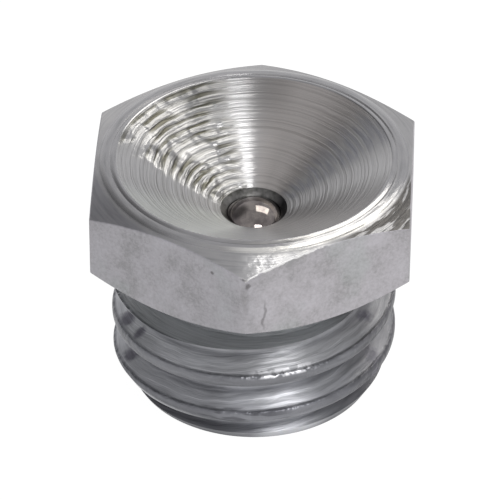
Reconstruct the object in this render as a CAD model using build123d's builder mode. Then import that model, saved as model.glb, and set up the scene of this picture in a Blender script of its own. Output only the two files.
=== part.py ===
from build123d import *
import os
from math import ceil, cos, radians, sin, sqrt, tan

# Grease nipple of the funnel type: a short hexagon-headed screw plug with a conical mouth for a
# pointed nozzle, and a sprung ball that closes the grease passage. Millimetres, +Z out of the
# funnel, origin at the middle of the end face below the thread.

# Hexagon head, with a corner at the front and one at the back
across_flats = 7.0
overall_height = 5.75
head_height = 2.17
rim_outer_radius = 3.42
underside_radius = 3.40
head_chamfer_angle = 30.0

# Funnel and grease passage
mouth_radius = 3.06
funnel_angle = 118.0
floor_radius = 0.745
throat_radius = 0.60
throat_depth = 0.135

# Neck and right-hand thread
neck_radius = 2.50
neck_length = 0.89
neck_fillet = 0.15
thread_radius = 3.18
thread_pitch = 1.0
thread_depth = 0.55
flank_angle = 30.0
root_rounding = 0.12
crest_rounding = 0.12
front_crest_height = 1.92
end_face_radius = 2.71
end_chamfer_angle = 30.0

# Check ball, its seat and its chamber
ball_radius = 0.80
seat_clearance = 0.01
seat_angle = 118.0
ball_side_clearance = 0.12

# Spring, and the end of the bore that is rolled in to hold it
wire_radius = 0.10
wire_sides = 8
spring_turns = 6.0
spring_side_clearance = 0.10
spring_end_clearance = 0.02
lip_opening_radius = 0.50
lip_thickness = 0.30
lip_slope_angle = 45.0
swage_ring_radius = 1.20
swage_ring_width = 0.40
swage_ring_depth = 0.12

# Working solids, each a share of the radius that it starts from
turning_overrun = 1.05
thread_ring_hole = 0.70
thread_core = 0.85


def slope(angle):
    """Rise for each millimetre outwards of a line that leans this many degrees from level."""
    return tan(radians(angle))


# Head
underside_height = overall_height - head_height
shoulder_height = underside_height - neck_length
corner_radius = across_flats / 2 / cos(radians(30))
turned_radius = turning_overrun * corner_radius
chamfer_slope = slope(head_chamfer_angle)
lower_chamfer_top = underside_height + (turned_radius - underside_radius) * chamfer_slope
upper_chamfer_foot = overall_height - (turned_radius - rim_outer_radius) * chamfer_slope

# Funnel, throat, seat and chamber
floor_height = overall_height - (mouth_radius - floor_radius) / slope(funnel_angle / 2)
throat_height = floor_height - throat_depth
chamber_radius = ball_radius + ball_side_clearance
seat_height = throat_height - (chamber_radius - throat_radius) / slope(seat_angle / 2)
lip_slope = slope(lip_slope_angle)
lip_top_height = lip_thickness + (chamber_radius - lip_opening_radius) * lip_slope

# The ball closes against the lower edge of the throat
ball_height = throat_height - sqrt((ball_radius + seat_clearance) ** 2 - throat_radius**2)

# Half of the thread groove in axial section, measured from its middle: a root rounded by three
# flats, a straight flank and a bevelled crest edge
root_radius = thread_radius - thread_depth
root_flat = root_rounding / 2
root_centre_radius = thread_radius - thread_depth + root_rounding
flank_foot_radius = root_centre_radius - root_rounding * sin(radians(flank_angle))
flank_foot_offset = root_rounding * cos(radians(flank_angle))
crest_centre_radius = thread_radius - crest_rounding
flank_top_radius = crest_centre_radius + crest_rounding * sin(radians(flank_angle))
flank_top_offset = flank_foot_offset + (flank_top_radius - flank_foot_radius) * slope(flank_angle)
crest_edge_offset = flank_top_offset + crest_rounding * cos(radians(flank_angle))

# The helix starts on the +X side, a quarter turn after the front. Grooves pass there half a pitch
# from the crests, and the lowest one starts well below the end face.
first_groove_height = (front_crest_height - thread_pitch / 4) % thread_pitch - 2 * thread_pitch
half_turn_count = 2 * ceil(shoulder_height / thread_pitch) + 6

# The thread is made as a ring, and a core then fills its hole
ring_hole_radius = thread_ring_hole * root_radius
core_radius = thread_core * root_radius
blank_radius = turning_overrun * thread_radius
end_chamfer_top = (blank_radius - end_face_radius) / slope(end_chamfer_angle)

with BuildPart() as half_turn:
    # One groove and one crest, carried half way round the axis
    with BuildSketch(Plane.XZ):
        with BuildLine():
            Polyline(
                (flank_top_radius, -flank_top_offset),
                (flank_foot_radius, -flank_foot_offset),
                (root_radius, -root_flat / 2),
                (root_radius, root_flat / 2),
                (flank_foot_radius, flank_foot_offset),
                (flank_top_radius, flank_top_offset),
                (thread_radius, crest_edge_offset),
                (thread_radius, thread_pitch - crest_edge_offset),
                (flank_top_radius, thread_pitch - flank_top_offset),
                (ring_hole_radius, thread_pitch - flank_top_offset),
                (ring_hole_radius, -flank_top_offset),
                close=True,
            )
        make_face()
    with BuildLine():
        half_helix = Helix(pitch=thread_pitch, height=thread_pitch / 2, radius=thread_radius)
    sweep(path=half_helix, is_frenet=True)

flat_ends = half_turn.faces().filter_by(GeomType.PLANE).sort_by(Axis.Z)
wound_faces = half_turn.faces().filter_by(GeomType.PLANE, reverse=True).sort_by(SortBy.AREA)
lower_side, upper_side = wound_faces[-2:].sort_by(Axis.Z)

# Half turns stacked into one skin, closed at its two ends
thread_faces = [flat_ends[0].moved(Pos(0, 0, first_groove_height))]
for index in range(half_turn_count):
    place = Pos(0, 0, first_groove_height + index * thread_pitch / 2) * Rot(0, 0, 180 * index)
    thread_faces += [face.moved(place) for face in wound_faces[:-2]]
    if index < 2:
        thread_faces.append(lower_side.moved(place))
    if index >= half_turn_count - 2:
        thread_faces.append(upper_side.moved(place))
    if index == half_turn_count - 1:
        thread_faces.append(flat_ends[1].moved(place))

with BuildPart() as threaded_end:
    add(Solid(Shell(thread_faces)))
    # The end chamfer is turned over the thread
    with BuildSketch(Plane.XZ):
        with BuildLine():
            Polyline(
                (0, 0),
                (end_face_radius, 0),
                (blank_radius, end_chamfer_top),
                (blank_radius, shoulder_height),
                (0, shoulder_height),
                close=True,
            )
        make_face()
    revolve(axis=Axis.Z, mode=Mode.INTERSECT)
    with BuildSketch():
        Circle(core_radius)
    extrude(amount=shoulder_height)

with BuildPart() as nipple_body:
    # Hexagon bar
    with BuildSketch(Plane.XY.offset(underside_height)):
        RegularPolygon(across_flats / 2, 6, major_radius=False, rotation=30)
    extrude(amount=head_height)
    # Both ends of the head are turned to a cone, which cuts the corners back in arcs
    with BuildSketch(Plane.XZ):
        with BuildLine():
            Polyline(
                (0, underside_height),
                (underside_radius, underside_height),
                (turned_radius, lower_chamfer_top),
                (turned_radius, upper_chamfer_foot),
                (rim_outer_radius, overall_height),
                (0, overall_height),
                close=True,
            )
        make_face()
    revolve(axis=Axis.Z, mode=Mode.INTERSECT)
    # Neck, rounded where it meets the underside
    with BuildSketch(Plane.XY.offset(underside_height)):
        Circle(neck_radius)
    extrude(amount=-neck_length)
    fillet(
        edges().filter_by(GeomType.CIRCLE).filter_by(
            lambda edge: abs(edge.radius - neck_radius) < neck_fillet
            and edge.center().Z > shoulder_height + neck_fillet
        ),
        neck_fillet,
    )
    add(threaded_end.part)
    # Funnel, throat, ball seat, chamber and the opening in the rolled-in lip
    with BuildSketch(Plane.XZ):
        with BuildLine():
            Polyline(
                (0, overall_height),
                (mouth_radius, overall_height),
                (floor_radius, floor_height),
                (throat_radius, throat_height),
                (chamber_radius, seat_height),
                (chamber_radius, lip_top_height),
                (lip_opening_radius, lip_thickness),
                (lip_opening_radius, 0),
                (0, 0),
                close=True,
            )
        make_face()
    revolve(axis=Axis.Z, mode=Mode.SUBTRACT)
    # Ring pressed into the end face by the tool that rolled the lip in
    with BuildSketch(Plane.XZ):
        with BuildLine():
            Polyline(
                (swage_ring_radius - swage_ring_width / 2, 0),
                (swage_ring_radius, swage_ring_depth),
                (swage_ring_radius + swage_ring_width / 2, 0),
                close=True,
            )
        make_face()
    revolve(axis=Axis.Z, mode=Mode.SUBTRACT)

with BuildPart(Plane.XY.offset(ball_height)) as check_ball:
    Sphere(ball_radius)

# The spring stands on the sloping lip and ends just under the ball
coil_radius = chamber_radius - spring_side_clearance - wire_radius
coil_reach = wire_radius + spring_end_clearance
coil_foot_height = (
    lip_thickness
    + (coil_radius - lip_opening_radius) * lip_slope
    + coil_reach / cos(radians(lip_slope_angle))
)
coil_top_height = ball_height - sqrt((ball_radius + coil_reach) ** 2 - coil_radius**2)
coil_height = coil_top_height - coil_foot_height

with BuildPart() as ball_spring:
    with BuildLine():
        coil = Helix(
            pitch=coil_height / spring_turns,
            height=coil_height,
            radius=coil_radius,
            center=(0, 0, coil_foot_height),
        )
    with BuildSketch(Plane(origin=coil @ 0, z_dir=coil % 0)):
        RegularPolygon(wire_radius, wire_sides)
    sweep(path=coil, is_frenet=True)

nipple_body.part.label = "nipple_body"
check_ball.part.label = "check_ball"
ball_spring.part.label = "ball_spring"

os.makedirs("parts", exist_ok=True)
export_step(nipple_body.part, "parts/nipple_body.step")
export_step(check_ball.part, "parts/check_ball.step")
export_step(ball_spring.part, "parts/ball_spring.step")
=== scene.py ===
import math

import bmesh
import bpy
from mathutils import Matrix, Vector


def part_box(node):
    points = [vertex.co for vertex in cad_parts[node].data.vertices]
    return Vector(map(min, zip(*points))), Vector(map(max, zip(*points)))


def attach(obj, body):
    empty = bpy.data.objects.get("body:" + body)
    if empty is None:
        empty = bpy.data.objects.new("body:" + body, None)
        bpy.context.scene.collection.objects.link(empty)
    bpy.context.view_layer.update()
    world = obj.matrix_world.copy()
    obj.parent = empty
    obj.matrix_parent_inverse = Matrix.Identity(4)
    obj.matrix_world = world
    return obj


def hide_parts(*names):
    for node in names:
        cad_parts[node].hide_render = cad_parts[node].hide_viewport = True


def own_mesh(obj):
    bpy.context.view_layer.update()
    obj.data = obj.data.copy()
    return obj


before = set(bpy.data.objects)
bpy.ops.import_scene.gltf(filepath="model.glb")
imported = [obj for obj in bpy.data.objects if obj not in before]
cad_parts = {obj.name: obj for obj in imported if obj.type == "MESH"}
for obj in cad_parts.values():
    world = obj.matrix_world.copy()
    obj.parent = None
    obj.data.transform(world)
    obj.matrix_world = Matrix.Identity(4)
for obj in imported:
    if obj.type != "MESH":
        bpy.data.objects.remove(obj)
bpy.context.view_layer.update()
scene = bpy.context.scene
scene.view_settings.view_transform = "Standard"

# The camera stands where the photographer's did: a little to the right of the front corner of
# the hexagon and 36 degrees above the rim, far enough off for an almost flat view.
rim_middle = Vector((0, 0, 0.00575))
towards_camera = Vector((0.0371, -0.8067, 0.5897)).normalized()
camera_distance = 0.117
picture_right = Vector((0.9989, 0.0459, 0))
picture_up = Vector((-0.0271, 0.5891, 0.8076))
aim_left = 0.0000836
aim_down = 0.002054
picture_middle = rim_middle - picture_right * aim_left - picture_up * aim_down
camera = bpy.data.objects.new("camera", bpy.data.cameras.new("camera"))
camera.location = rim_middle + towards_camera * camera_distance
camera.rotation_euler = (picture_middle - camera.location).to_track_quat("-Z", "Y").to_euler()
camera.data.lens = 383
camera.data.sensor_width = 36
camera.data.clip_start = 0.001
camera.data.clip_end = 10
scene.collection.objects.link(camera)
scene.camera = camera

# The floor is a white table top. To the camera and in reflections it is plain white, darker
# only where the nipple keeps light off it.
bpy.ops.object.select_all(action="DESELECT")
bpy.ops.mesh.primitive_plane_add(size=1.6, location=(0, 0, 0))
table_top = bpy.context.object
table_top.name = "table_top"
white_top = bpy.data.materials.new("white_top")
white_top.use_nodes = True
tree = white_top.node_tree
tree.nodes.clear()


def calculate(tree, operation, first, second=0.0, third=None):
    """One sum on two or three values, each a number or the output of another node."""
    sum_node = tree.nodes.new("ShaderNodeMath")
    sum_node.operation = operation
    for index, value in enumerate((first, second, third)):
        if value is None:
            continue
        if isinstance(value, (int, float)):
            sum_node.inputs[index].default_value = value
        else:
            tree.links.new(value, sum_node.inputs[index])
    return sum_node.outputs[0]


paint = tree.nodes.new("ShaderNodeBsdfDiffuse")
paint.inputs["Color"].default_value = (0.8, 0.8, 0.8, 1)
glow = tree.nodes.new("ShaderNodeEmission")
glow.inputs["Color"].default_value = (1, 1, 1, 1)
glow.inputs["Strength"].default_value = 1.08
glow_share = 0.9
ray = tree.nodes.new("ShaderNodeLightPath").outputs
seen = calculate(tree, "MAXIMUM", ray["Is Camera Ray"], ray["Is Glossy Ray"])
seen = calculate(tree, "MAXIMUM", seen, ray["Is Transmission Ray"])
blend = tree.nodes.new("ShaderNodeMixShader")
tree.links.new(calculate(tree, "MULTIPLY", seen, glow_share), blend.inputs[0])
tree.links.new(paint.outputs[0], blend.inputs[1])
tree.links.new(glow.outputs[0], blend.inputs[2])
surface = tree.nodes.new("ShaderNodeOutputMaterial")
tree.links.new(blend.outputs[0], surface.inputs["Surface"])
table_top.data.materials.append(white_top)

# The room is a pale studio, brightest all round at table height and a little dimmer overhead,
# with an unlit corner high up behind the nipple on the left.
level_to_overhead = [(0.0, (0.90, 0.90, 0.92)), (1.0, (0.58, 0.58, 0.60))]
unlit_corner = (-0.62, 0.42, 0.66)
studio = bpy.data.worlds.new("studio")
scene.world = studio
studio.use_nodes = True
tree = studio.node_tree
tree.nodes.clear()


def parts_of(tree, vector):
    """The X, Y and Z of a vector."""
    parts = tree.nodes.new("ShaderNodeSeparateXYZ")
    tree.links.new(vector, parts.inputs[0])
    return parts.outputs


def colour_by(tree, value, stops):
    """A colour that follows a value through stops of (position, colour)."""
    ramp = tree.nodes.new("ShaderNodeValToRGB")
    elements = ramp.color_ramp.elements
    for element, (position, colour) in zip(elements, (stops[0], stops[-1])):
        element.position = position
        element.color = (*colour, 1)
    for position, colour in stops[1:-1]:
        elements.new(position).color = (*colour, 1)
    tree.links.new(value, ramp.inputs[0])
    return ramp.outputs[0]


def ease(tree, value, start, end, low=0.0, high=1.0):
    """Goes smoothly from low to high as the value goes from start to end."""
    change = tree.nodes.new("ShaderNodeMapRange")
    change.interpolation_type = "SMOOTHSTEP"
    change.inputs["From Min"].default_value = start
    change.inputs["From Max"].default_value = end
    change.inputs["To Min"].default_value = low
    change.inputs["To Max"].default_value = high
    tree.links.new(value, change.inputs["Value"])
    return change.outputs[0]


def vector_sum(tree, operation, first, second=None):
    """One sum on a vector and, where it needs one, a second vector or an output that gives it."""
    sum_node = tree.nodes.new("ShaderNodeVectorMath")
    sum_node.operation = operation
    tree.links.new(first, sum_node.inputs[0])
    if isinstance(second, tuple):
        sum_node.inputs[1].default_value = second
    elif second is not None:
        tree.links.new(second, sum_node.inputs[1])
    return sum_node.outputs


def facing(tree, vector, towards, start, full, low=0.0, high=1.0):
    """Goes smoothly from low to high as the vector reaches along a direction: between two cosines
    for a bearing, and between two distances in millimetres for a place."""
    along = vector_sum(tree, "DOT_PRODUCT", vector, towards)["Value"]
    return ease(tree, along, start, full, low, high)


direction = tree.nodes.new("ShaderNodeTexCoord").outputs["Generated"]
air = tree.nodes.new("ShaderNodeBackground")
pale = colour_by(tree, parts_of(tree, direction)["Z"], level_to_overhead)
dimmed = facing(tree, direction, unlit_corner, 0.86, 0.99, low=1.0, high=0.27)
tree.links.new(pale, air.inputs["Color"])
tree.links.new(dimmed, air.inputs["Strength"])
sky = tree.nodes.new("ShaderNodeOutputWorld")
tree.links.new(air.outputs[0], sky.inputs["Surface"])

# Two softboxes hang over the nipple, one behind it on the right and a smaller, brighter one in
# front. They make the long stripes on the turned faces and the two highlights on the ball.
lamp_distance = 0.4


def hang_lamp(name, towards, size, roll, brightness, colour):
    """A softbox that faces the nipple, level or rolled by some degrees. Brightness is its own, as
    a reflection shows it."""
    lamp = bpy.data.objects.new(name, bpy.data.lights.new(name, "AREA"))
    lamp.data.shape = "RECTANGLE"
    lamp.data.size, lamp.data.size_y = size
    lamp.data.energy = brightness * math.pi * size[0] * size[1]
    lamp.data.color = colour
    away = Vector(towards).normalized()
    side = (Vector((1, 0, 0)) - away * away.x).normalized()
    lamp.location = rim_middle + away * lamp_distance
    level = Matrix((side, away.cross(side), away)).transposed()
    lamp.rotation_euler = (level @ Matrix.Rotation(math.radians(roll), 3, "Z")).to_euler()
    scene.collection.objects.link(lamp)


hang_lamp(
    "high_softbox", towards=(0.33, 0.50, 0.80), size=(0.22, 0.18), roll=8,
    brightness=3.0, colour=(1.0, 0.98, 0.93),
)
hang_lamp(
    "front_lamp", towards=(0.26, -0.57, 0.78), size=(0.15, 0.09), roll=0,
    brightness=9.5, colour=(1.0, 1.0, 1.0),
)

# The body is cut from hexagon bar in a lathe: mouth, funnel and both ends of the head are turned,
# the neck is undercut, and the bore is drilled from below and its end rolled in round the spring.
# Sizes are millimetres until the piece is finished. A point is (radius, height).
across_flats = 7.0
corner_bevel = 0.025
turned_radius = 4.24
rim_edge_radius = 3.42
rim_edge_height = 5.680
upper_chamfer_slope = 0.48
lower_chamfer_slope = math.tan(math.radians(30))
underside = 3.58
underside_radius = 3.40
neck_radius = 2.50
shoulder = 2.69
blank_radius = 3.30
chamber_radius = 0.92
throat = (0.60, 4.224)
turning_steps = 288

funnel_wall = [throat, (0.745, 4.359), (3.035, 5.735), (3.05, 5.745), (3.07, 5.75)]
rim_with_ring = [
    (3.10, 5.744), (3.14, 5.732), (3.165, 5.720), (3.19, 5.739), (3.25, 5.733), (3.30, 5.725),
    (3.35, 5.711), (3.39, 5.694), (rim_edge_radius, rim_edge_height),
]
chamfered_side = [
    (turned_radius, rim_edge_height - (turned_radius - rim_edge_radius) * upper_chamfer_slope),
    (turned_radius, underside + (turned_radius - underside_radius) * lower_chamfer_slope),
    (underside_radius + 0.02, underside + 0.012), (underside_radius - 0.01, underside),
]
neck_with_fillet = [
    (2.65, underside), (2.575, underside - 0.02), (2.52, underside - 0.075),
    (neck_radius, underside - 0.15), (neck_radius, shoulder),
]
thread_blank = [
    (blank_radius, shoulder), (blank_radius, 1.022), (2.74, 0.05), (2.72, 0.015), (2.68, 0),
]
rolled_end = [
    (1.42, 0), (1.38, 0.01), (1.24, 0.10), (1.20, 0.12), (1.16, 0.10), (1.02, 0.01), (0.98, 0),
    (0.54, 0), (0.51, 0.012), (0.50, 0.04), (0.50, 0.30),
]
bore_wall = [(chamber_radius, 0.72), (chamber_radius, 4.032), throat]


def draw_section(name, points):
    """A line through points (radius, height), drawn as by hand by extruding one corner."""
    bpy.ops.object.select_all(action="DESELECT")
    bpy.ops.mesh.primitive_plane_add(size=1, location=(0, 0, 0))
    piece = bpy.context.object
    piece.name = name
    bpy.ops.object.mode_set(mode="EDIT")
    bpy.ops.mesh.select_mode(type="VERT")
    bpy.ops.mesh.select_all(action="SELECT")
    bpy.ops.mesh.merge(type="CENTER")
    bpy.ops.transform.translate(value=(points[0][0], 0, points[0][1]))
    for (radius, height), (next_radius, next_height) in zip(points, points[1:]):
        bpy.ops.mesh.extrude_vertices_move(
            TRANSFORM_OT_translate={"value": (next_radius - radius, 0, next_height - height)}
        )
    return piece


def turn(steps):
    """Turns the drawn line right round the axis and leaves edit mode."""
    bpy.ops.mesh.select_all(action="SELECT")
    bpy.ops.mesh.spin(steps=steps, angle=math.tau, center=(0, 0, 0), axis=(0, 0, 1))
    bpy.ops.mesh.select_all(action="SELECT")
    bpy.ops.mesh.remove_doubles(threshold=0.0002)
    bpy.ops.mesh.normals_make_consistent(inside=False)
    bpy.ops.object.mode_set(mode="OBJECT")


body = draw_section(
    "body",
    funnel_wall + rim_with_ring + chamfered_side + neck_with_fillet + thread_blank + rolled_end
    + bore_wall,
)
turn(turning_steps)

# The six flats of the bar. They are the only upright faces with many corners, and the bevel
# takes the sharpness off their edges.
bpy.ops.object.mode_set(mode="EDIT")
for side in range(6):
    angle = math.radians(60 * side)
    outwards = (math.cos(angle), math.sin(angle), 0)
    bpy.ops.mesh.select_all(action="SELECT")
    bpy.ops.mesh.bisect(
        plane_co=[across_flats / 2 * part for part in outwards],
        plane_no=outwards, use_fill=True, clear_outer=True,
    )
bpy.ops.mesh.select_all(action="DESELECT")
bpy.ops.mesh.select_mode(type="EDGE")
cut = bmesh.from_edit_mesh(body.data)
for face in cut.faces:
    if abs(face.normal.z) < 0.01 and len(face.verts) > 8:
        for edge in face.edges:
            edge.select = True
cut.select_flush_mode()
bmesh.update_edit_mesh(body.data)
bpy.ops.mesh.bevel(offset=corner_bevel, segments=3, affect="EDGES")
bpy.ops.object.mode_set(mode="OBJECT")

# The thread is a right-hand one, cut last, by a die: a block with the thread's form through it,
# made by winding the section of one groove and one crest up the axis. Each point of the section
# is (radius, rise above the middle of the groove).
pitch = 1.0
crest_radius = 3.18
root_radius = 2.63
crest_at_front = 1.92
groove_height = crest_at_front - pitch / 4
groove_and_crest = [
    (2.69, -0.104), (2.655, -0.080), (2.635, -0.045), (root_radius, 0.0), (2.635, 0.045),
    (2.655, 0.080), (2.69, 0.104), (2.90, 0.225), (3.12, 0.352), (3.15, 0.374), (3.17, 0.405),
    (crest_radius, 0.456), (crest_radius, 0.544), (3.17, 0.595), (3.15, 0.626), (3.12, 0.648),
    (2.90, 0.775), (2.69, 0.896),
]
turns_below = 4
winding_turns = 8
winding_steps = 216
die_radius = 4.8
die_height = 3.3
die_middle = 1.25
winding_top = 2.95
winding_foot = -0.6


def take_up(piece):
    """Makes this piece the only one that an operator acts on."""
    bpy.ops.object.select_all(action="DESELECT")
    bpy.context.view_layer.objects.active = piece
    piece.select_set(True)


def cut_with(piece, tool):
    """Takes the tool's solid out of the piece and throws the tool away."""
    boolean = piece.modifiers.new("cut", "BOOLEAN")
    boolean.operation = "DIFFERENCE"
    boolean.solver = "EXACT"
    boolean.object = tool
    take_up(piece)
    bpy.ops.object.modifier_apply(modifier=boolean.name)
    bpy.data.objects.remove(tool)


def wind(piece, rise, turns, steps):
    """Winds the piece's section up the axis, so many millimetres in each turn, and leaves it in
    edit mode with the turns joined."""
    winding = piece.modifiers.new("winding", "SCREW")
    winding.axis = "Z"
    winding.angle = math.tau
    winding.screw_offset = rise
    winding.iterations = turns
    winding.steps = winding.render_steps = steps
    bpy.ops.object.modifier_apply(modifier=winding.name)
    bpy.ops.object.mode_set(mode="EDIT")
    bpy.ops.mesh.select_all(action="SELECT")
    bpy.ops.mesh.remove_doubles(threshold=0.0005)


thread_form = draw_section(
    "thread_form", [(radius, groove_height + rise) for radius, rise in groove_and_crest]
)
bpy.ops.object.mode_set(mode="OBJECT")
thread_form.location.z = -turns_below * pitch
bpy.ops.object.transform_apply(location=True, rotation=False, scale=False)
wind(thread_form, pitch, winding_turns, winding_steps)
bpy.ops.mesh.bisect(
    plane_co=(0, 0, winding_top), plane_no=(0, 0, 1), use_fill=True, clear_outer=True,
)
bpy.ops.mesh.select_all(action="SELECT")
bpy.ops.mesh.bisect(
    plane_co=(0, 0, winding_foot), plane_no=(0, 0, 1), use_fill=True, clear_inner=True,
)
bpy.ops.mesh.select_all(action="SELECT")
bpy.ops.mesh.normals_make_consistent(inside=False)
bpy.ops.object.mode_set(mode="OBJECT")
bpy.ops.object.select_all(action="DESELECT")
bpy.ops.mesh.primitive_cylinder_add(
    vertices=64, radius=die_radius, depth=die_height, location=(0, 0, die_middle),
)
die = bpy.context.object
die.name = "die"
bpy.ops.object.transform_apply(location=True)
cut_with(die, thread_form)
cut_with(body, die)


def finish_piece(piece, smooth_angle):
    """Smooths the piece's round faces and brings it from millimetres to its real size."""
    take_up(piece)
    bpy.ops.object.shade_smooth_by_angle(angle=math.radians(smooth_angle))
    weighted = piece.modifiers.new("weighted", "WEIGHTED_NORMAL")
    weighted.keep_sharp = True
    bpy.ops.object.modifier_apply(modifier=weighted.name)
    piece.scale = (0.001, 0.001, 0.001)
    bpy.ops.object.transform_apply(location=True, rotation=True, scale=True)


finish_piece(body, smooth_angle=28)

# All of the body is the same steel. What differs is how each surface was made, so each has its
# own finish. Patterns are drawn in millimetres in the body's own coordinates.


def in_millimetres(tree):
    """Where a point of the piece lies, in millimetres."""
    place = tree.nodes.new("ShaderNodeTexCoord")
    scale = tree.nodes.new("ShaderNodeMapping")
    scale.inputs["Scale"].default_value = (1000, 1000, 1000)
    tree.links.new(place.outputs["Object"], scale.inputs["Vector"])
    return scale.outputs["Vector"]


def vector_of(tree, **parts):
    """A vector of the outputs given for X, Y and Z, and 0 for the rest."""
    joined = tree.nodes.new("ShaderNodeCombineXYZ")
    for axis, value in parts.items():
        tree.links.new(value, joined.inputs[axis])
    return joined.outputs[0]


def round_axis(tree, place):
    """How far a place lies from the nipple's axis, and in which direction."""
    axes = parts_of(tree, place)
    across = vector_of(tree, X=axes["X"], Y=axes["Y"])
    radius = vector_sum(tree, "LENGTH", across)["Value"]
    bearing = vector_sum(tree, "NORMALIZE", across)["Vector"]
    return radius, bearing


def grain(tree, place, scale, detail, roughness):
    """Plain three-dimensional noise."""
    noise = tree.nodes.new("ShaderNodeTexNoise")
    tree.links.new(place, noise.inputs["Vector"])
    noise.inputs["Scale"].default_value = scale
    noise.inputs["Detail"].default_value = detail
    noise.inputs["Roughness"].default_value = roughness
    return noise.outputs["Fac"]


def all_of(tree, first, *others):
    """1 only where every one of the masks is."""
    for other in others:
        first = calculate(tree, "MULTIPLY", first, other)
    return first


def band(tree, value, start, full, full_to, end):
    """1 within a band of the value, easing off to 0 on both sides of it."""
    return all_of(tree, ease(tree, value, start, full), ease(tree, value, end, full_to))


def shares_of(tree, first, first_share, second, second_share):
    """Two patterns added up, each with its own share."""
    return calculate(
        tree, "MULTIPLY_ADD", first, first_share, calculate(tree, "MULTIPLY", second, second_share)
    )


def lay_over(tree, mask, under, over, mode="MIX"):
    """Lays a colour over another where the mask is 1."""
    mix = tree.nodes.new("ShaderNodeMix")
    mix.data_type = "RGBA"
    mix.blend_type = mode
    tree.links.new(mask, mix.inputs[0])
    tree.links.new(under, mix.inputs[6])
    mix.inputs[7].default_value = (*over, 1)
    return mix.outputs[2]


def shade(tree, mask, colour, factor):
    """Multiplies a colour by a factor for red, green and blue where the mask is 1."""
    return lay_over(tree, mask, colour, factor, "MULTIPLY")


def spot(tree, place, middle, size, ragged, grains):
    """1 inside a ragged patch round a point, its size given along X, Y and Z."""
    shift = vector_sum(tree, "SUBTRACT", place, middle)["Vector"]
    reach = vector_sum(tree, "LENGTH", vector_sum(tree, "DIVIDE", shift, size)["Vector"])["Value"]
    rough_edge = calculate(tree, "SUBTRACT", grain(tree, place, grains, 3.0, 0.6), 0.5)
    return ease(tree, calculate(tree, "MULTIPLY_ADD", rough_edge, ragged, reach), 1.0, 0.3)


def steel(name, anisotropy=0.0):
    """A bare steel finish, ready for its own pattern: the material, its node tree and the inputs
    of its shader. Turned faces stretch their shine across the tool's marks."""
    material = bpy.data.materials.new(name)
    material.use_nodes = True
    tree = material.node_tree
    metal = tree.nodes["Principled BSDF"].inputs
    metal["Metallic"].default_value = 1.0
    if anisotropy:
        metal["Anisotropic"].default_value = anisotropy
        metal["Anisotropic Rotation"].default_value = 0.25
        tangent = tree.nodes.new("ShaderNodeTangent")
        tangent.direction_type = "RADIAL"
        tangent.axis = "Z"
        tree.links.new(tangent.outputs[0], metal["Tangent"])
    return material, tree, metal


def raise_surface(tree, metal, height, depth, strength=1.0):
    """Bump from a height of 0 to 1. Depth is in millimetres."""
    bump = tree.nodes.new("ShaderNodeBump")
    bump.inputs["Distance"].default_value = depth / 1000
    bump.inputs["Strength"].default_value = strength
    tree.links.new(height, bump.inputs["Height"])
    tree.links.new(bump.outputs[0], metal["Normal"])


# Flats: drawn bar under dull plating, clouded and lightly specked, the right ones lighter with
# painted light. The torn front edge of the chamfer has left chips on them, and near the front
# corner they have a hair crack, a nick, a notch and a smudge.
flats, tree, metal = steel("bar_flats")
place = in_millimetres(tree)
radius, bearing = round_axis(tree, place)
height = parts_of(tree, place)["Z"]
clouds = grain(tree, place, scale=1.3, detail=6.0, roughness=0.65)
fine = grain(tree, place, scale=14.0, detail=4.0, roughness=0.7)
colour = colour_by(tree, shares_of(tree, fine, 0.35, clouds, 0.65), [
    (0.38, (0.29, 0.285, 0.295)), (0.5, (0.39, 0.38, 0.40)), (0.62, (0.46, 0.45, 0.475)),
])
# Painted light: the flats on the right are made lighter, as if more light falls on that side
painted_light_right_flats = facing(tree, place, (1.0, 0.0, 0.0), -0.4, 0.6)
colour = shade(tree, painted_light_right_flats, colour, (1.22, 1.21, 1.20))
greenish = grain(tree, place, scale=0.9, detail=2.0, roughness=0.5)
colour = shade(tree, ease(tree, greenish, 0.5, 0.72), colour, (0.94, 0.975, 0.95))

# Chips along the upper edge, where the height carried up the chamfer's slope and made uneven by
# a grain comes near it
chip_unevenness = 0.16
chipped_front = (0.25, -0.97, 0.0)
slant = calculate(tree, "MULTIPLY_ADD", radius, upper_chamfer_slope, height)
uneven = grain(tree, place, scale=5.0, detail=2.0, roughness=0.5)
slant = calculate(tree, "MULTIPLY_ADD", uneven, chip_unevenness, slant)
near_edge = ease(tree, slant, 7.375, 7.39)
chips = all_of(tree, near_edge, facing(tree, bearing, chipped_front, 0.94, 0.985))
colour = lay_over(tree, chips, colour, (0.78, 0.77, 0.76))

# The crack wavers because its places are pushed sideways by a slow grain
crack_sway = 0.26
crack_strength = 0.65
smudge_strength = 0.22
mark_strength = 0.6
mark_depth = -2.0
sway = grain(tree, place, scale=2.2, detail=2.0, roughness=0.5)
sway = calculate(tree, "MULTIPLY_ADD", sway, crack_sway, -crack_sway / 2)
bent = vector_sum(tree, "ADD", place, vector_of(tree, X=sway))["Vector"]
crack = spot(tree, bent, (0.41, -3.80, 4.28), (0.045, 0.2, 0.50), ragged=0.7, grains=5.0)
nick = spot(tree, place, (0.05, -4.01, 5.22), (0.10, 0.10, 0.11), ragged=1.2, grains=9.0)
notch = spot(tree, place, (-0.04, -4.02, 5.40), (0.14, 0.08, 0.06), ragged=1.0, grains=9.0)
speck = spot(tree, place, (-0.73, -3.62, 5.27), (0.06, 0.06, 0.06), ragged=0.6, grains=9.0)
smudge = spot(tree, place, (0.0, -4.04, 4.83), (0.14, 0.14, 0.5), ragged=1.6, grains=4.0)
dark_marks = calculate(tree, "MULTIPLY", crack, crack_strength)
for mark in (nick, notch, speck):
    dark_marks = calculate(tree, "MAXIMUM", dark_marks, mark)
smudged = calculate(tree, "MULTIPLY", smudge, smudge_strength)
colour = lay_over(tree, smudged, colour, (0.20, 0.195, 0.19))
darkened = calculate(tree, "MULTIPLY", dark_marks, mark_strength)
colour = lay_over(tree, darkened, colour, (0.07, 0.065, 0.06))
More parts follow.
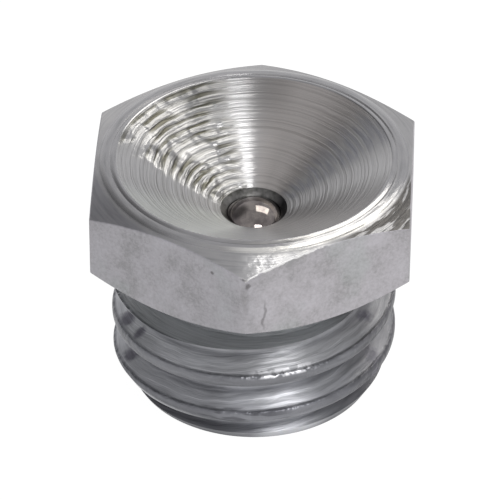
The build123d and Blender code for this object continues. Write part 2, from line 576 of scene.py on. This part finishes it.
tree.links.new(colour, metal["Base Color"])
tree.links.new(ease(tree, clouds, 0.3, 0.7, low=0.5, high=0.64), metal["Roughness"])
dented = calculate(tree, "MULTIPLY_ADD", dark_marks, mark_depth, fine)
raise_surface(tree, metal, dented, depth=0.014, strength=0.5)

# Marks that a lathe tool leaves: rings round the axis of uneven depth, waves that follow each
# other evenly, and short arcs where the tool dragged. The same group serves funnel, rim,
# chamfers and thread.
turning_marks = bpy.data.node_groups.new("turning_marks", "ShaderNodeTree")
for way, kind, labels in (
    ("INPUT", "NodeSocketVector", ("Vector",)),
    ("INPUT", "NodeSocketFloat", ("Spacing", "Waver", "Rise", "Arcs")),
    ("OUTPUT", "NodeSocketFloat", ("Rings", "Arcs", "Waves", "Radius")),
    ("OUTPUT", "NodeSocketVector", ("Bearing",)),
):
    for label in labels:
        turning_marks.interface.new_socket(name=label, in_out=way, socket_type=kind)
given = turning_marks.nodes.new("NodeGroupInput").outputs
result = turning_marks.nodes.new("NodeGroupOutput").inputs
radius, bearing = round_axis(turning_marks, given["Vector"])
height = parts_of(turning_marks, given["Vector"])["Z"]
arc_wander = 1.9
drift = grain(turning_marks, given["Vector"], scale=0.8, detail=2.0, roughness=0.5)
drift = calculate(turning_marks, "SUBTRACT", drift, 0.5)
along = calculate(turning_marks, "MULTIPLY_ADD", height, given["Rise"], radius)
along = calculate(turning_marks, "MULTIPLY_ADD", drift, given["Waver"], along)
step = calculate(turning_marks, "DIVIDE", along, given["Spacing"])
rings = turning_marks.nodes.new("ShaderNodeTexNoise")
rings.noise_dimensions = "1D"
rings.inputs["Scale"].default_value = 1.0
rings.inputs["Detail"].default_value = 2.0
rings.inputs["Roughness"].default_value = 0.6
turning_marks.links.new(step, rings.inputs["W"])
around = turning_marks.nodes.new("ShaderNodeVectorMath")
around.operation = "SCALE"
turning_marks.links.new(bearing, around.inputs[0])
turning_marks.links.new(given["Arcs"], around.inputs["Scale"])
around = parts_of(turning_marks, around.outputs["Vector"])
drum = vector_of(turning_marks, X=around["X"], Y=around["Y"], Z=step)
arcs = grain(turning_marks, drum, scale=1.0, detail=2.0, roughness=0.5)
wander = calculate(turning_marks, "MULTIPLY_ADD", arcs, arc_wander, step)
wave = calculate(turning_marks, "SINE", calculate(turning_marks, "MULTIPLY", wander, math.pi))
wave = calculate(turning_marks, "MULTIPLY_ADD", wave, 0.5, 0.5)
turning_marks.links.new(rings.outputs["Fac"], result["Rings"])
turning_marks.links.new(arcs, result["Arcs"])
turning_marks.links.new(wave, result["Waves"])
turning_marks.links.new(radius, result["Radius"])
turning_marks.links.new(bearing, result["Bearing"])


def marks_on(tree, place, spacing, waver, rise, arcs):
    """The turning marks with this surface's own values: spacing and waver in millimetres, how
    much a millimetre of height counts beside one of radius, and how short the arcs are."""
    marks = tree.nodes.new("ShaderNodeGroup")
    marks.node_tree = turning_marks
    tree.links.new(place, marks.inputs["Vector"])
    marks.inputs["Spacing"].default_value = spacing
    marks.inputs["Waver"].default_value = waver
    marks.inputs["Rise"].default_value = rise
    marks.inputs["Arcs"].default_value = arcs
    return marks.outputs


# Rim and chamfers: turned smooth, so that they show the lamps as long stripes. On the front
# right a ring groove darkened with painted shade lies between two lands lightened with painted
# highlights, the chamfer is torn at the front corner, its bared steel lightened further with a
# painted highlight, dirt sits in the deep marks of the next corner, and the chamfer on the left
# corner is darker.
beside_front_corner = (0.242, -0.97, 0.0)
right_corner = (0.87, -0.50, 0.0)
left_corner = (-0.87, -0.50, 0.0)
outer_land_band = (3.27, 3.31, 3.40, 3.44)
inner_land_band = (3.08, 3.10, 3.15, 3.17)
ring_groove_band = (3.15, 3.165, 3.19, 3.205)
fleck_height = 0.20
turned, tree, metal = steel("turned_head", anisotropy=0.8)
place = in_millimetres(tree)
marks = marks_on(tree, place, spacing=0.075, waver=0.05, rise=0.0, arcs=6.0)
radius, bearing = marks["Radius"], marks["Bearing"]
pattern = shares_of(tree, marks["Rings"], 0.4, marks["Arcs"], 0.6)
colour = colour_by(tree, pattern, [
    (0.30, (0.32, 0.32, 0.32)), (0.5, (0.40, 0.395, 0.40)), (0.70, (0.44, 0.435, 0.43)),
])
upper = ease(tree, parts_of(tree, place)["Z"], 4.5, 4.8)
torn = all_of(tree, facing(tree, bearing, beside_front_corner, 0.945, 0.99), upper)
deep_marks = all_of(tree, facing(tree, bearing, right_corner, 0.89, 0.96), upper)
# Bared steel of the torn chamfer, lightened further with a painted highlight
bared_and_painted_highlight = all_of(tree, torn, ease(tree, radius, 3.42, 3.5))
colour = shade(tree, bared_and_painted_highlight, colour, (1.7, 1.7, 1.67))

# Painted highlights on the two lands of the front right, painted shade in the ring groove between
painted_highlight_front_right = facing(tree, bearing, (0.42, -0.91, 0.0), 0.70, 0.93)
painted_highlight_outer_land = all_of(tree, band(tree, radius, *outer_land_band), painted_highlight_front_right, upper)
colour = shade(tree, painted_highlight_outer_land, colour, (1.2, 1.19, 1.14))
further_right = facing(tree, bearing, (0.50, -0.87, 0.0), 0.75, 0.92)
painted_highlight_inner_land = all_of(tree, band(tree, radius, *inner_land_band), further_right, upper)
colour = shade(tree, painted_highlight_inner_land, colour, (1.1, 1.09, 1.05))
along_ring = facing(tree, bearing, (0.50, -0.87, 0.0), 0.55, 0.88)
painted_shade_ring_groove = all_of(tree, band(tree, radius, *ring_groove_band), along_ring, upper)
colour = shade(tree, painted_shade_ring_groove, colour, (0.5, 0.5, 0.5))
# Painted highlight, stronger on the outer land just right of the front corner
front = facing(tree, bearing, (0.20, -0.98, 0.0), 0.93, 0.985)
colour = shade(tree, all_of(tree, painted_highlight_outer_land, front), colour, (1.7, 1.7, 1.68))

between_arcs = ease(tree, marks["Arcs"], 0.62, 0.50)
dirt = all_of(tree, deep_marks, between_arcs, ease(tree, radius, 3.42, 3.48))
colour = lay_over(tree, dirt, colour, (0.12, 0.115, 0.11))
# Darker on the chamfer of the left corner
on_left_corner = facing(tree, bearing, left_corner, 0.90, 0.97)
darker_left_corner = all_of(tree, on_left_corner, ease(tree, radius, 3.44, 3.52))
colour = shade(tree, darker_left_corner, colour, (0.80, 0.80, 0.83))
tree.links.new(colour, metal["Base Color"])
tree.links.new(ease(tree, radius, 3.38, 3.46, low=0.21, high=0.42), metal["Roughness"])

deeper = calculate(tree, "MULTIPLY_ADD", torn, 1.8, 0.4)
deeper = calculate(tree, "MULTIPLY_ADD", deep_marks, 1.8, deeper)
depth = all_of(tree, ease(tree, radius, 3.40, 3.55, low=0.12, high=0.5), deeper)
flecks = ease(tree, grain(tree, place, scale=2.8, detail=2.0, roughness=0.6), 0.35, 0.65)
pattern = all_of(tree, pattern, depth)
pattern = calculate(tree, "MULTIPLY_ADD", all_of(tree, flecks, bared_and_painted_highlight), fleck_height, pattern)
raise_surface(tree, metal, pattern, depth=0.06)

# Funnel: turned with a coarser feed. On the back left the tool chattered, and there its marks
# stand as thick broken arcs with old grease between them. A brown film tones the back; painted
# shade darkens the front and the front right, a painted highlight lightens the front left, and
# along the back painted shade dims the cone near the rim and a painted highlight brightens it
# lower down. Streaks of painted dark reflection run over the right side.
cone, tree, metal = steel("funnel", anisotropy=1.0)
metal["Roughness"].default_value = 0.29
place = in_millimetres(tree)
coarse = marks_on(tree, place, spacing=0.092, waver=0.16, rise=0.0, arcs=2.2)
marks = marks_on(tree, place, spacing=0.06, waver=0.10, rise=0.0, arcs=2.0)
radius, bearing = marks["Radius"], marks["Bearing"]
colour = colour_by(tree, marks["Rings"], [
    (0.30, (0.43, 0.425, 0.42)), (0.42, (0.50, 0.495, 0.495)), (0.60, (0.53, 0.525, 0.52)),
])
back_left = facing(tree, bearing, (-0.77, 0.64, 0.0), 0.76, 0.95)
patches = grain(tree, place, scale=1.4, detail=2.0, roughness=0.5)
chatter = all_of(tree, back_left, ease(tree, patches, 0.36, 0.58, low=0.3))
colour = shade(tree, chatter, colour, (0.80, 0.80, 0.79))
old_grease = all_of(tree, ease(tree, coarse["Waves"], 0.55, 0.20), chatter)
colour = lay_over(tree, old_grease, colour, (0.13, 0.125, 0.10))

# Tones round the axis, a brown film and the rest painted shade and painted highlight: the
# direction each lies in, the cosines that it starts and is full at, and what it multiplies the
# colour by
tones_round_axis = {
    "brown film at the back": ((0.45, 0.89, 0.0), 0.80, 0.97, (0.84, 0.80, 0.77)),
    "painted shade on the front right": ((0.70, -0.71, 0.0), 0.70, 0.98, (0.62, 0.61, 0.61)),
    "painted highlight on the front left": ((-0.62, -0.78, 0.0), 0.80, 0.98, (1.32, 1.36, 1.32)),
    "painted shade at the front": ((0.05, -1.0, 0.0), 0.90, 0.98, (0.80, 0.80, 0.80)),
}
for towards, start, full, factor in tones_round_axis.values():
    colour = shade(tree, facing(tree, bearing, towards, start, full), colour, factor)
# Along the back, painted shade near the rim and a painted highlight lower down the cone
back = facing(tree, bearing, (-0.20, 0.98, 0.0), 0.85, 0.97)
painted_shade_outer_back = all_of(tree, back, ease(tree, radius, 2.1, 2.8))
colour = shade(tree, painted_shade_outer_back, colour, (0.74, 0.74, 0.74))
painted_highlight_inner_back = all_of(tree, back, ease(tree, radius, 2.2, 1.7))
colour = shade(tree, painted_highlight_inner_back, colour, (1.22, 1.22, 1.22))
# Painted dark reflection: bluish dark streaks over the right side of the cone
painted_dark_right_side = facing(tree, bearing, (0.875, 0.485, 0.0), 0.95, 1.0)
painted_dark_reflection_streaks = all_of(tree, painted_dark_right_side, ease(tree, coarse["Arcs"], 0.62, 0.38))
colour = shade(tree, painted_dark_reflection_streaks, colour, (0.80, 0.81, 0.87))
tree.links.new(colour, metal["Base Color"])
depth = calculate(tree, "MULTIPLY_ADD", chatter, 0.85, 0.15)
pattern = all_of(tree, shares_of(tree, coarse["Waves"], 0.26, coarse["Arcs"], 0.5), depth)
pattern = calculate(tree, "MULTIPLY_ADD", marks["Rings"], 0.16, pattern)
raise_surface(tree, metal, pattern, depth=0.10)

# Thread and neck: cut and plated, greyer and cooler, with the marks running round with the
# thread. Its crests are dull and bruised and its flanks clean. Painted shade darkens the crests,
# the groove bottoms, the lower part and the end cone, a painted highlight lies on the lower flank
# in front with painted glints on the crest above it, and painted dark reflection darkens the right
# side. Dark spots lie in the grooves on the left, and spots of painted dark reflection on the
# right.
screw, tree, metal = steel("thread", anisotropy=0.8)
place = in_millimetres(tree)
height = parts_of(tree, place)["Z"]
marks = marks_on(tree, place, spacing=0.07, waver=0.15, rise=0.6, arcs=4.0)
radius, bearing = marks["Radius"], marks["Bearing"]
pattern = shares_of(tree, marks["Rings"], 0.4, marks["Arcs"], 0.6)
beads = grain(tree, place, scale=5.0, detail=2.0, roughness=0.5)
crests_dull_and_painted_shade = ease(tree, radius, 3.08, 3.15)
colour = colour_by(tree, pattern, [
    (0.30, (0.36, 0.365, 0.375)), (0.5, (0.475, 0.48, 0.495)), (0.72, (0.59, 0.595, 0.61)),
])
# Painted highlight on the lower flank in front, a little to the right
front = facing(tree, bearing, (0.17, -0.985, 0.0), 0.89, 0.985)
painted_highlight_lower_flank = all_of(tree, front, ease(tree, height, 1.78, 1.62))
colour = shade(tree, painted_highlight_lower_flank, colour, (1.4, 1.4, 1.4))
# The crests are dull plating, darkened further with painted shade
colour = shade(tree, crests_dull_and_painted_shade, colour, (0.45, 0.45, 0.465))
# Painted shade in the bottoms of the grooves
painted_shade_groove_bottoms = all_of(tree, ease(tree, radius, 2.84, 2.72), ease(tree, height, 2.62, 2.55))
colour = shade(tree, painted_shade_groove_bottoms, colour, (0.74, 0.74, 0.75))

painted_highlight_front_right = facing(tree, bearing, (0.259, -0.966, 0.0), 0.960, 0.992)
crest_edge_band = (2.99, 3.06, 3.165, 3.178)
upper_crest = all_of(tree, band(tree, radius, *crest_edge_band), ease(tree, height, 1.88, 1.92))
# Painted highlight: bright glints along the upper crest in front
painted_glints_beaded = all_of(tree, painted_highlight_front_right, upper_crest, ease(tree, beads, 0.40, 0.52))
colour = lay_over(tree, painted_glints_beaded, colour, (0.85, 0.85, 0.87))
lower_crest_band = (0.70, 0.80, 1.15, 1.30)
lower_crest = all_of(tree, ease(tree, radius, 3.02, 3.08), band(tree, height, *lower_crest_band))
front_left = facing(tree, bearing, (-0.06, -0.998, 0.0), 0.90, 0.98)
ragged = all_of(tree, lower_crest, front_left, ease(tree, marks["Arcs"], 0.44, 0.58))
colour = shade(tree, ragged, colour, (0.50, 0.50, 0.51))

# Painted dark reflection along the right side of the thread
painted_dark_right_side = facing(tree, bearing, (0.95, -0.30, 0.0), 0.86, 0.98)
colour = shade(tree, painted_dark_right_side, colour, (0.70, 0.69, 0.69))
neck = ease(tree, height, 2.66, 2.72)
colour = shade(tree, neck, colour, (1.0, 1.02, 1.01))
# Painted shade: darker towards the bottom
low = ease(tree, height, 2.5, 1.2)
colour = shade(tree, low, colour, (0.84, 0.84, 0.85))
# Painted shade on the end cone, except where the floor's bright reflection lies on it in front
away_from_lit_sliver = facing(tree, bearing, (0.36, -0.93, 0.0), 0.93, 0.99, low=1.0, high=0.0)
painted_shade_end = all_of(tree, ease(tree, height, 0.60, 0.20), away_from_lit_sliver)
colour = shade(tree, painted_shade_end, colour, (0.44, 0.44, 0.45))

# Dark spots: the middle and size of each spot. The three on the left are dark marks in the
# grooves; the three on the right are painted dark reflection.
dark_spot_cover = 0.85
dark_spots = [
    ((-2.75, -1.07, 1.98), (0.34, 0.34, 0.34)), ((-2.42, -1.60, 1.93), (0.22, 0.22, 0.22)),
    ((-2.72, -1.14, 1.04), (0.30, 0.30, 0.30)), ((2.53, -1.32, 2.54), (0.26, 0.26, 0.40)),
    ((2.80, -1.35, 1.45), (0.30, 0.35, 0.35)), ((2.75, -1.50, 0.95), (0.25, 0.35, 0.25)),
]
# Dark marks on the left, painted dark reflection on the right
for middle, size in dark_spots:
    grease = spot(tree, place, middle, size, ragged=1.4, grains=3.0)
    grease = calculate(tree, "MULTIPLY", grease, dark_spot_cover)
    colour = lay_over(tree, grease, colour, (0.11, 0.105, 0.13))
tree.links.new(colour, metal["Base Color"])
tree.links.new(calculate(tree, "MULTIPLY_ADD", crests_dull_and_painted_shade, -0.06, 0.42), metal["Roughness"])
bead_height = 1.8
pattern = calculate(tree, "MULTIPLY_ADD", all_of(tree, beads, crests_dull_and_painted_shade), bead_height, pattern)
raise_surface(tree, metal, pattern, depth=0.035, strength=0.9)

# Throat and bore: drilled steel that nothing wipes, so it is dark with old grease and painted
# shade of the deep hole, and darkest, with a painted shadow, on the right and below the throat.
greasy_and_painted_shade, tree, metal = steel("greasy_bore_painted_shade")
metal["Roughness"].default_value = 0.35
place = in_millimetres(tree)
film = grain(tree, place, scale=4.0, detail=4.0, roughness=0.6)
colour = colour_by(tree, film, [(0.35, (0.05, 0.05, 0.045)), (0.65, (0.20, 0.195, 0.19))])
# Painted shadow on the right wall of the throat
painted_dark_right_side = facing(tree, place, (1.0, -0.35, 0.0), 0.15, 0.60)
colour = shade(tree, painted_dark_right_side, colour, (0.20, 0.20, 0.22))
# Painted shade below the throat
painted_shade_below_throat = ease(tree, parts_of(tree, place)["Z"], 4.26, 4.20)
colour = shade(tree, painted_shade_below_throat, colour, (0.2, 0.2, 0.2))
tree.links.new(colour, metal["Base Color"])
raise_surface(tree, metal, film, depth=0.02, strength=0.5)

# Each face of the body takes the finish of the surface that it lies on
above_chamber = 4.0
head_foot = 3.45
fillet_radius = 2.65
fillet_top = 3.575
mouth_radius = 3.04
finishes = [flats, turned, cone, screw, greasy_and_painted_shade]
for finish in finishes:
    body.data.materials.append(finish)
for face in body.data.polygons:
    middle = face.center * 1000
    radius = math.hypot(middle.x, middle.y)
    in_throat = radius < 0.744 and middle.z > above_chamber
    in_bore = radius < chamber_radius + 0.01 and 0.03 < middle.z < throat[1] + 0.006
    on_fillet = radius < fillet_radius and middle.z < fillet_top
    if in_throat or in_bore:
        finish = greasy_and_painted_shade
    elif middle.z < head_foot or on_fillet:
        finish = screw
    elif abs(face.normal.z) < 0.8 and radius > 3.45:
        finish = flats
    elif radius < mouth_radius and middle.z > above_chamber:
        finish = cone
    else:
        finish = turned
    face.material_index = finishes.index(finish)
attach(body, "nipple")
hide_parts("nipple_body")

# The check ball is a hardened steel bearing ball, ground and lapped all over, with a thin film of
# grease on it. The spring holds it up against the edge of the throat.
ball_radius = 0.8
ball_height = 3.6803
bpy.ops.object.select_all(action="DESELECT")
bpy.ops.mesh.primitive_cube_add(size=2 * ball_radius, location=(0, 0, 0))
ball = bpy.context.object
ball.name = "ball"
bpy.ops.object.mode_set(mode="EDIT")
bpy.ops.mesh.select_all(action="SELECT")
bpy.ops.mesh.subdivide(number_cuts=31)
bpy.ops.transform.tosphere(value=1)
bpy.ops.object.mode_set(mode="OBJECT")
rounded_size = [max(corner) for corner in zip(*[vertex.co for vertex in ball.data.vertices])]
ball.scale = [ball_radius / size for size in rounded_size]
ball.location = (0, 0, ball_height)
bpy.ops.object.transform_apply(location=True, rotation=False, scale=True)
finish_piece(ball, smooth_angle=60)
ball_steel, tree, metal = steel("ball_steel")
metal["Roughness"].default_value = 0.08
place = in_millimetres(tree)
film = grain(tree, place, scale=3.5, detail=4.0, roughness=0.65)
colour = colour_by(tree, film, [
    (0.38, (0.17, 0.15, 0.145)), (0.5, (0.24, 0.215, 0.205)), (0.62, (0.31, 0.28, 0.26)),
])
# Painted shade: the left side of the ball darker
painted_shade_left_side = facing(tree, place, (-0.9, 0.4, 0.0), 0.0, 0.5)
colour = shade(tree, painted_shade_left_side, colour, (0.80, 0.80, 0.84))
tree.links.new(colour, metal["Base Color"])
ball.data.materials.append(ball_steel)
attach(ball, "ball")
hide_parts("check_ball")

# The spring is wound from thin drawn steel wire. It stands on the rolled-in lip at the foot of
# the bore and pushes the ball up.
wire_radius = 0.095
coil_radius = 0.72
coil_turns = 6
coil_steps = 48
end_allowance = 0.1
spring_low, spring_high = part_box("ball_spring")
coil_foot = spring_low.z * 1000 + end_allowance
coil_rise = (spring_high.z - spring_low.z) * 1000 - 2 * end_allowance
bpy.ops.object.select_all(action="DESELECT")
bpy.ops.mesh.primitive_circle_add(vertices=12, radius=wire_radius, location=(0, 0, 0))
spring = bpy.context.object
spring.name = "spring"
bpy.ops.object.mode_set(mode="EDIT")
bpy.ops.mesh.select_all(action="SELECT")
bpy.ops.transform.rotate(value=math.pi / 2, orient_axis="X", center_override=(0, 0, 0))
bpy.ops.transform.translate(value=(coil_radius, 0, coil_foot))
bpy.ops.object.mode_set(mode="OBJECT")
wind(spring, coil_rise / coil_turns, coil_turns, coil_steps)
bpy.ops.mesh.select_all(action="DESELECT")
bpy.ops.mesh.select_mode(type="EDGE")
bpy.ops.mesh.select_non_manifold()
bpy.ops.mesh.fill_holes(sides=0)
bpy.ops.mesh.select_all(action="SELECT")
bpy.ops.mesh.normals_make_consistent(inside=False)
bpy.ops.object.mode_set(mode="OBJECT")
finish_piece(spring, smooth_angle=60)
spring_steel, tree, metal = steel("spring_steel")
film = grain(tree, in_millimetres(tree), scale=5.0, detail=3.0, roughness=0.6)
colour = colour_by(tree, film, [(0.42, (0.24, 0.23, 0.22)), (0.60, (0.46, 0.45, 0.44))])
tree.links.new(colour, metal["Base Color"])
tree.links.new(ease(tree, film, 0.35, 0.65, low=0.40, high=0.24), metal["Roughness"])
raise_surface(tree, metal, film, depth=0.008, strength=0.5)
spring.data.materials.append(spring_steel)
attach(spring, "nipple")
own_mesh(spring)
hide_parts("ball_spring")
